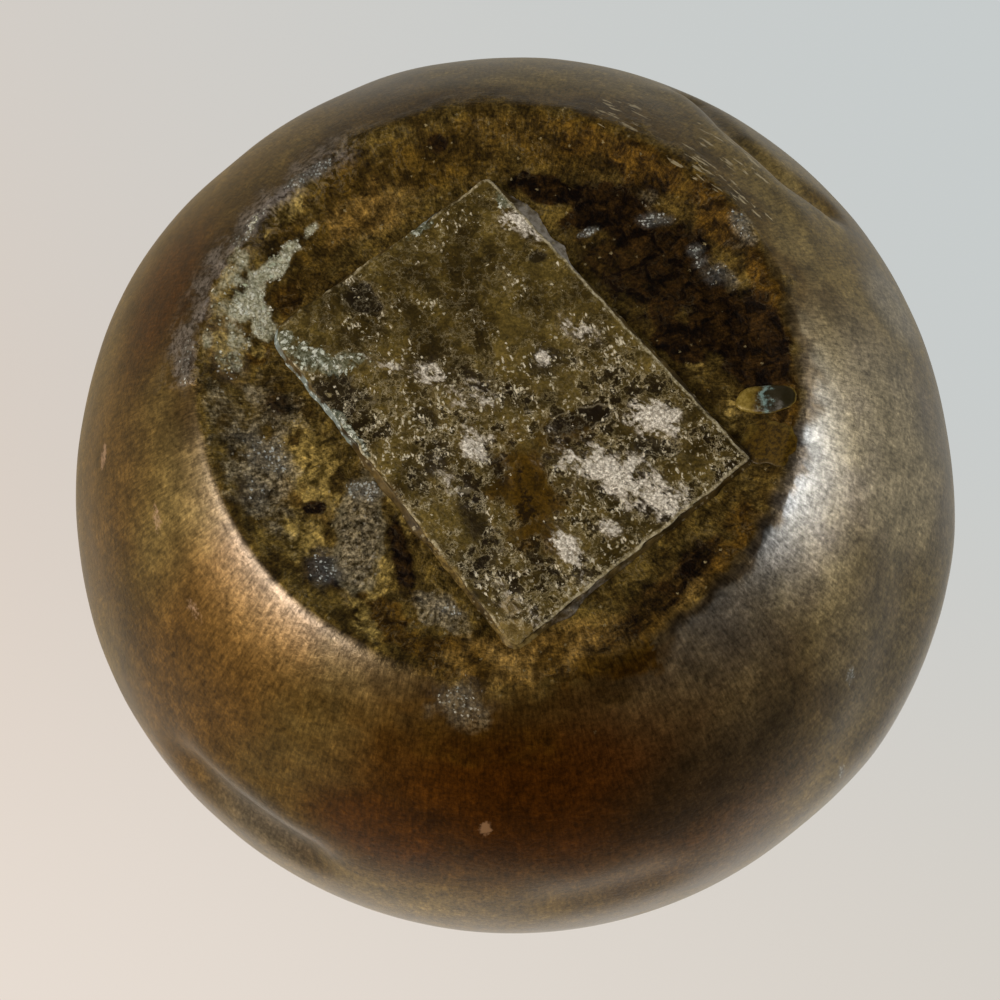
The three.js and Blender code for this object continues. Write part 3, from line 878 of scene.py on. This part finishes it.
# Soft solder: tin and lead gone dull grey and brown, greyer where it was run thick, matt, with a fine
# crazed skin.
soft_solder, tree = new_material("tarnished_soft_solder")
place = add("TexCoord").outputs["Object"]
skin = noise_texture(place, 0.8, 4.0, 0.65)
cloud = noise_texture(place, 3, 5.0, 0.65)
colour = laid(
    two_tone(cloud, "#33270f", "#5c4b26"),
    (1.0, skin, 0.6, 1.4),
    (broken("pale", skin, 0.8), two_tone(skin, "#6d665a", "#938d84")),
    (crumbs(place, 0.5, 0.25), linear("#8f8469")),
    (broken("green", skin, 0.6), linear("#7b8683")),
    (crumbs(place, 0.5, times("green", 0.7)), linear("#bfcac9")),
    (broken("buried", skin, 0.6, 2.0), two_tone(skin, "#4a3a17", "#806c3c")),
)
bump = bumps(skin, 0.4, 0.0002)
surface(colour, 0.15, 0.5, bump, 0.2)
patch_solder = piece("patch_solder_fillet", bm, soft_solder, green=green, pale=pale, buried=buried)
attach(patch_solder, "root")
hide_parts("patch_solder")

# Base patch: a hand-cut brass plate that mends the bottom. It has gone olive brown and is pitted. Pale
# corrosion lies on it in crumbs, thin on the upper half, and on the lower half in streaks along the way
# that it was rubbed. The dish's brown crust has grown over its lower corner.
bm = bmesh.new()
bmesh.ops.create_grid(bm, x_segments=215, y_segments=154, size=0.5)
share = spots_of(bm) + 0.5
plane = plate_spot(share[:, 0], share[:, 1])
flat = np.column_stack((plane, np.zeros(len(plane))))
from_ends = np.minimum(share[:, 0], 1 - share[:, 0]) * plate_long
from_sides = np.minimum(share[:, 1], 1 - share[:, 1]) * plate_short
to_edge = np.minimum(from_ends, from_sides)
wobble = 0.5 * grain(flat, 3.0, 4)
pits = smudges(
    flat, wobble * 0.8,
    (-16.0, -11.0, 3.0, 1.9, 48, 1.0), (-18.7, 1.2, 4.2, 2.6, 10, 1.0), (5.0, -16.1, 1.3, 1.0, 0, 1.0),
    (9.4, 4.6, 4.6, 1.5, -18, 0.8), (19.0, 7.6, 3.4, 1.3, 10, 0.9), (-1.6, 21.8, 3.0, 2.4, 30, 0.7),
    (6.6, -2.8, 3.4, 2.4, 0, 0.7), (-8.0, 4.0, 2.2, 1.6, 30, 0.6), (-6.5, 9.0, 2.0, 3.0, 20, 0.6),
    (-2.0, 16.5, 4.6, 2.2, 60, 0.65), (-9.0, 11.5, 4.0, 1.8, 60, 0.6), (0.0, 10.0, 4.0, 1.6, 60, 0.55),
    (13.0, 13.5, 3.0, 1.2, 38, 0.55), (2.0, 2.0, 3.0, 1.6, 10, 0.55), (7.0, 23.0, 2.4, 1.2, 40, 0.5),
)
rims = smooth_step(pits, 0.02, 0.2) * (1 - smooth_step(pits, 0.25, 0.5))
mustard = smudges(
    flat, wobble,
    (4.0, 13.4, 8.0, 3.8, 68, 1.0), (-12.0, 13.5, 2.0, 1.6, 0, 0.6), (8.0, 6.0, 5.0, 2.4, -15, 0.7),
)
patches = smudges(
    flat, wobble * 1.5,
    (2.9, -20.6, 2.6, 1.4, 30, 1.0), (14.2, 11.2, 7.0, 2.5, 27, 1.0), (18.6, 4.0, 3.2, 2.0, 40, 1.0),
    (-2.4, 7.5, 1.8, 2.0, 0, 0.85), (-7.8, -1.4, 2.4, 1.4, 0, 0.6), (8.4, 19.6, 3.2, 1.4, 62, 0.75),
    (13.4, 17.4, 1.2, 0.9, 20, 0.65), (-4.9, 12.2, 2.8, 1.4, 60, 0.4), (5.8, -3.2, 1.0, 0.8, 0, 1.0),
    (19.0, 14.2, 4.2, 1.6, 40, 0.85), (2.0, 26.0, 3.0, 1.4, 60, 0.4), (10.0, -6.5, 3.0, 1.2, 20, 0.5),
    (-13.0, -2.5, 3.0, 0.9, 15, 0.45), (-3.0, 1.5, 4.0, 2.0, 10, 0.4), (5.0, 28.2, 3.0, 1.2, 60, 0.4),
    ends=(0.1, 1.7),
)
clusters = smudges(
    flat, wobble,
    (-15.5, -6.6, 5.0, 1.6, 15, 1.0), (-17.6, -13.0, 2.2, 1.4, 50, 1.0),
    (-4.6, -21.0, 4.0, 1.8, -30, 0.9), (2.0, -13.0, 3.0, 1.6, 30, 0.6), (-9.0, -9.6, 3.0, 1.4, 10, 0.6),
    (-11.0, -3.0, 4.0, 1.6, 10, 0.8), (13.0, -5.0, 6.0, 2.0, 48, 0.8), (-20.0, -3.0, 3.0, 1.6, 10, 1.0),
    (-12.0, 6.0, 3.0, 2.0, 60, 0.7), (2.0, 27.0, 4.0, 2.4, 60, 0.9),
)
green = smudges(
    flat, wobble,
    (-21.6, -3.2, 4.0, 1.7, 15, 0.9), (-17.4, -3.2, 3.0, 1.2, 5, 0.5), (-25.2, -5.6, 1.6, 1.4, 60, 1.0),
    (-17.6, 6.0, 4.4, 1.2, 52, 0.95), (0.8, -23.4, 1.8, 1.2, 0, 0.7), (-9.5, -19.6, 2.6, 0.8, -38, 0.8),
)
buried = smudges(flat, wobble * 1.4, (2.6, 30.5, 4.2, 3.0, 90, 0.9), (-5.5, 22.5, 5.0, 1.4, 52, 0.6))
lower = smooth_step(plane[:, 1] + 0.25 * plane[:, 0], -9.0, 4.0)
drifts = 0.5 * grain(flat + 40, 4.0, 3)
crumbly = 0.1 + 0.15 * lower + 0.25 * drifts + 0.2 * rims + 0.1 * patches + 0.25 * clusters
crumbly *= 1 - 0.8 * mustard
crumbly *= 1 - 0.7 * smudges(flat, wobble, (-5.0, 17.0, 9.0, 5.0, 55, 1.0))
# The cut edge is painted pale along the two right-hand sides, as a highlight where the light falls on
# them, and along the others in places where it is rubbed bright.
right_sides = (from_sides < 0.8) & (share[:, 1] < 0.5) | (from_ends < 0.8) & (share[:, 0] > 0.5)
rubbed_edge = np.maximum(smooth_step(grain(flat + 90, 3, 3), -0.15, 0.45), 0.8 * right_sides)
edge_line = bell(to_edge, 0.1, 0.24) * rubbed_edge
relief = 0.10 * grain(flat, 11) + 0.06 * grain(flat + 5, 0.9, 3) - 0.12 * np.exp(-to_edge / 0.4)
relief += 0.12 * patches - 0.30 * pits + 0.10 * green
ragged_edge = np.exp(-to_edge / 1.2) * 0.28 * grain(flat + 70, 2.2, 3)
middle = plane.mean(0)
away = (plane - middle) / np.linalg.norm(plane - middle, axis=1)[:, None]
for v, (x, y), (dx, dy), out, up in zip(bm.verts, plane, away, ragged_edge, relief):
    v.co = (x + dx * out, y + dy * out, plate_front - up)
made = bmesh.ops.extrude_edge_only(bm, edges=[e for e in bm.edges if e.is_boundary])["geom"]
for v in made:
    if isinstance(v, bmesh.types.BMVert):
        v.co.z = plate_back
bmesh.ops.holes_fill(bm, edges=[e for e in bm.edges if e.is_boundary])
bmesh.ops.recalc_face_normals(bm, faces=bm.faces)
painted = {
    "pits": pits, "mustard": mustard, "chalk": patches, "crumbly": np.clip(crumbly, 0, 1), "green": green,
    "lower": lower, "edge_line": edge_line * (1 - 0.7 * buried), "buried": buried,
}
unpainted_back = np.zeros(len(bm.verts) - len(plane))

# Patch brass: oxidised plate with a thin gloss, olive and brown, with chalky crumbs and streaks of
# corrosion that stand proud and catch the light, blackened pits, and verdigris at its left corner.
patch_brass, tree = new_material("corroded_patch_brass")
place = add("TexCoord").outputs["Object"]
turned = {"Vector": place, "Rotation": (0, 0, math.radians(38)), "Scale": (2.4, 1, 1)}
rubbed = add("Mapping", turned, vector_type="TEXTURE")
cloud = noise_texture(place, 6, 5.0, 0.6)
flake = noise_texture(place, 1.4, 5.0, 0.65, 1.0)
grit = noise_texture(place, 0.35, 3.0, 0.65)
standing = {"Vector": place, "Rotation": (0, 0, math.radians(68)), "Scale": (2.6, 1, 1)}
standing = add("Mapping", standing, vector_type="TEXTURE")
streaks = noise_texture(rubbed, 0.5, 4.0, 0.65)
flaked = add("MapRange", {0: cloud, 1: 0.4, 2: 0.55})
eaten = add("MapRange", {0: "lower", 3: 0.35, 4: 1.0})
eating = noise_texture(place, 2.6, 6.0, 0.72)
hollow = add("MapRange", {0: eating, 1: 0.47, 2: 0.42}, interpolation_type="SMOOTHSTEP")
chalky = add("Mix", {0: 0.5, 2: streaks, 3: flake})
brushed = add("MapRange", {0: streaks, 1: 0.36, 2: 0.6})
clump = add("MapRange", {0: flake, 1: 0.4, 2: 0.62, 3: 0.1, 4: 1.6})
loose = crumbs(place, 0.45, times("crumbly", clump))
lumps = crumbs(place, 0.9, times("crumbly", clump, 0.5))
splinters = crumbs(standing, 0.35, times("crumbly", clump, 0.9))
calm = add("Math", {0: 1.0, 1: "mustard"}, operation="SUBTRACT", use_clamp=True)
eaten_rims = times(outlines(eating, 0.475, 0.022), eaten, calm, 0.75)
chalked = broken(times("chalk", 0.85), chalky, 0.5, 3.2)
overgrown = times(broken("buried", flake, 0.6, 2.0), 0.7)
colour = laid(
    two_tone(cloud, "#382d0f", "#5f5126"),
    ("mustard", linear("#483408")),
    (1.0, flake, 0.5, 1.6),
    (1.0, grit, 0.55, 1.5),
    (times(hollow, eaten, 0.85), linear("#180f04")),
    (times(broken("pits", flake, 0.6, 2.2), 0.85), linear("#191209")),
    (times("chalk", brushed, 0.6), two_tone(flake, "#63594a", "#9c9282")),
    (times(outlines("pits", 0.3, 0.12), hollow, 0.5), linear("#978d74")),
    (times(outlines(streaks, 0.5, 0.03), "lower", flaked, calm, 0.3), linear("#9a8d6c")),
    (eaten_rims, two_tone(flake, "#7f7350", "#d3c9ab")),
    (times(lumps, 0.8), two_tone(grit, "#75683f", "#a59a76")),
    (loose, two_tone(flake, "#9a8f6c", "#d2cab0")),
    (splinters, two_tone(flake, "#a99f80", "#e6dfcb")),
    (crumbs(place, 0.55, times("chalk", 0.6)), two_tone(grit, "#a89f8c", "#efeade")),
    (chalked, two_tone(grit, "#b9b1a2", "#f2ede4")),
    ("chalk", grit, 0.6, 1.3),
    (times("chalk", crumbs(place, 0.6, 0.2), 0.75), linear("#3d3324")),
    (times(broken("green", flake, 0.5, 3.2), 0.55), two_tone(grit, "#4b5442", "#8b978a")),
    (crumbs(place, 0.6, times("green", 0.9)), two_tone(flake, "#a5aea0", "#e8ece4")),
    # The pale cut edge: a painted highlight on the right-hand sides, rubbed bright in places elsewhere.
    (broken("edge_line", streaks, 0.8, 1.6), two_tone(grit, "#857955", "#c9bfa2")),
    (overgrown, two_tone(flake, "#58461d", "#96814d")),
)
raised = add("Math", {0: flake, 1: 0.6, 2: loose}, operation="MULTIPLY_ADD")
bump = bumps(raised, 0.8, 0.0003)
bump = bumps(streaks, 0.5, 0.0002, bump)
surface(colour, 0.12, 0.42, bump, 0.12)
painted = {name: np.append(values, unpainted_back) for name, values in painted.items()}
base_patch = piece("base_patch_plate", bm, patch_brass, **painted)
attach(base_patch, "root")
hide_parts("base_patch")

# Solder drops: two drops that fell beside the plate's corner and froze on the dish. The long one has a
# honey end of burnt flux and a dark, blue-green end; the round one is a thin brown pool. Towards the ring
# they thin out, so that they don't stand below it.
drop_skin, tree = new_material("burnt_flux_and_solder")
place = add("TexCoord").outputs["Object"]
grit = noise_texture(place, 0.5, 4.0, 0.7)
colour = laid(
    two_tone(grit, "#2a1e05", "#574310"),
    ("honey", two_tone(grit, "#6e5c1e", "#93803f")),
    (broken("dark", grit, 0.4), linear("#262213")),
    (broken("blue", grit, 0.4), linear("#7e9a9c")),
)
bump = bumps(grit, 0.3, 0.0002)
surface(colour, 0.1, 0.3, bump, 0.25)

# Each drop: node, name, middle, half length, half width, height, turn in degrees, how ragged its edge is.
for node, name, (x, y), length, width, height, degrees, ragged in (
    ("solder_drop_long", "solder_drop_long_frozen", (31.5, 1.9), 3.4, 1.7, 0.55, 3, 0.07),
    ("solder_drop_round", "solder_drop_round_frozen", (31.6, 7.2), 3.1, 2.6, 0.16, 20, 0.2),
):
    bm = bmesh.new()
    bmesh.ops.create_uvsphere(bm, u_segments=56, v_segments=32, radius=1)
    for v in bm.verts:
        v.co.x = math.copysign(abs(v.co.x) ** 0.85, v.co.x)
        v.co.y = math.copysign(abs(v.co.y) ** 0.85, v.co.y)
    bmesh.ops.scale(bm, vec=(length, width, 1), verts=bm.verts)
    turned = Matrix.Rotation(math.radians(degrees), 3, "Z")
    bmesh.ops.rotate(bm, cent=(0, 0, 0), matrix=turned, verts=bm.verts)
    bmesh.ops.translate(bm, vec=(x, y, 0), verts=bm.verts)
    spots = spots_of(bm)
    flat = spots * (1, 1, 0)
    edge = 1 + ragged * grain(flat, 1.8, 3)
    flat[:, :2] = (flat[:, :2] - (x, y)) * edge[:, None] + (x, y)
    rests = np.maximum(dish_height(np.hypot(flat[:, 0], flat[:, 1])), 0)
    lump = height * (1 + 0.25 * grain(flat + 40, 1.3, 2)) * np.clip(rests / 0.7, 0.1, 1)
    rise = np.where(spots[:, 2] < 0, -np.abs(spots[:, 2]) ** 0.8 * lump, 0.15 * spots[:, 2])
    for v, (px, py, _), pz in zip(bm.verts, flat, rests + rise):
        v.co = (px, py, pz)
    bmesh.ops.recalc_face_normals(bm, faces=bm.faces)
    rim = smooth_step(-np.abs(spots[:, 2]), -0.6, -0.1)
    along = flat[:, 0] + 0.7 * grain(flat + 21, 1.1, 3)
    if node == "solder_drop_long":
        honey = np.maximum(smooth_step(-along, -30.9, -29.6), 0.6 * rim)
        dark = smooth_step(along, 30.6, 31.8) * 0.8 * (1 - 0.7 * rim)
        blue = 0.5 * bell(along, 31.3, 0.9)
    else:
        honey = 0.25 * smooth_step(grain(flat + 9, 1.8, 2), 0.0, 0.5)
        dark = 0.45 * rim
        blue = np.zeros(len(flat))
    drop = piece(name, bm, drop_skin, honey=honey, dark=dark, blue=blue)
    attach(drop, "root")
    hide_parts(node)
